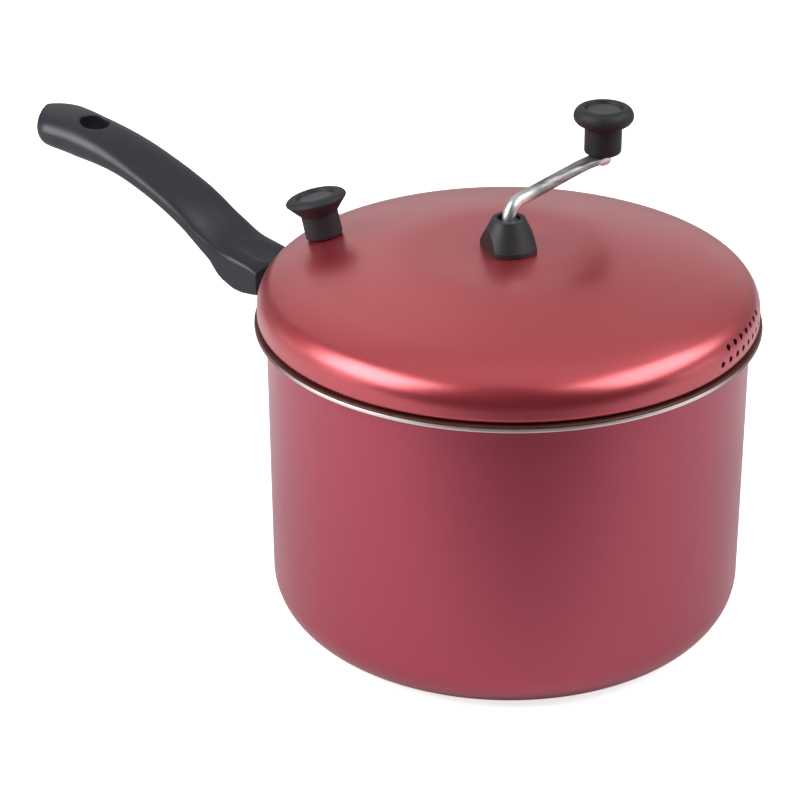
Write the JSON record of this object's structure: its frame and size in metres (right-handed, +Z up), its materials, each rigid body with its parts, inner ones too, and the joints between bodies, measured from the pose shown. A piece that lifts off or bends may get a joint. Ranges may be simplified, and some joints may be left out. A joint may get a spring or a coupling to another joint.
{
  "type": "stovetop popcorn popper",
  "caption": "Hand cranked popcorn popper: lidded pot with a side handle, lifting knob and steam vents, and a crank with a turning knob that drives a stirrer along the pot's floor.",
  "frame": {"origin": "centre of the pot's flat bottom", "axes": "+Z up along the pot's axis, the handle points along -X, +Y is on the right of someone at the handle's end looking at the pot"},
  "size_m": [0.3937, 0.238, 0.2348],
  "materials": {
    "pot_paint": "satin metallic red paint outside, bare rim edge, brown coating inside",
    "lid_paint": "satin metallic red paint",
    "bracket_steel": "plated pressed steel",
    "rivet_aluminium": "bare",
    "black_phenolic": "black, satin moulded",
    "cap_plastic": "black, satin moulded",
    "bushing_nylon": "black, satin moulded",
    "zinc_steel": "zinc plated",
    "insert_brass": "machined",
    "plated_rod": "bright plated",
    "clip_steel": "spring steel",
    "hub_steel": "turned",
    "wire_steel": "drawn stainless wire",
    "pin_steel": "turned, end peened"
  },
  "bodies": {
    "pot": {"pot_shell": "pot_paint", "handle_bracket": "bracket_steel", "bracket_rivets": "rivet_aluminium", "handle_grip": "black_phenolic", "handle_screw": "zinc_steel"},
    "lid": {"lid_shell": "lid_paint", "lid_knob": "black_phenolic", "lid_knob_cap": "cap_plastic", "lid_knob_insert": "insert_brass", "lid_knob_screw": "zinc_steel", "lid_knob_washer": "zinc_steel", "crank_bushing": "bushing_nylon", "bushing_washer": "zinc_steel", "bushing_nut": "zinc_steel"},
    "crank": {"crank_rod": "plated_rod", "rod_clips": "clip_steel", "thrust_washer": "zinc_steel", "stirrer_hub": "hub_steel", "hub_thumbscrew": "insert_brass", "stirrer_wire_a": "wire_steel", "stirrer_wire_b": "wire_steel", "knob_pin": "pin_steel", "knob_pin_washer": "zinc_steel"},
    "knob": {"crank_knob": "black_phenolic", "crank_knob_cap": "cap_plastic"}
  },
  "joints": [
    {"name": "lid_lift", "type": "slide", "parent": "pot", "child": "lid", "axis": [0, 0, 1], "range_m": [0, 0.17]},
    {"name": "crank_turn", "type": "hinge", "parent": "lid", "child": "crank", "pos_m": [0, 0, 0.19], "axis": [0, 0, 1], "continuous": true},
    {"name": "knob_spin", "type": "hinge", "parent": "crank", "child": "knob", "pos_m": [0.01198, 0.06795, 0.222], "axis": [0, 0, 1], "continuous": true}
  ]
}
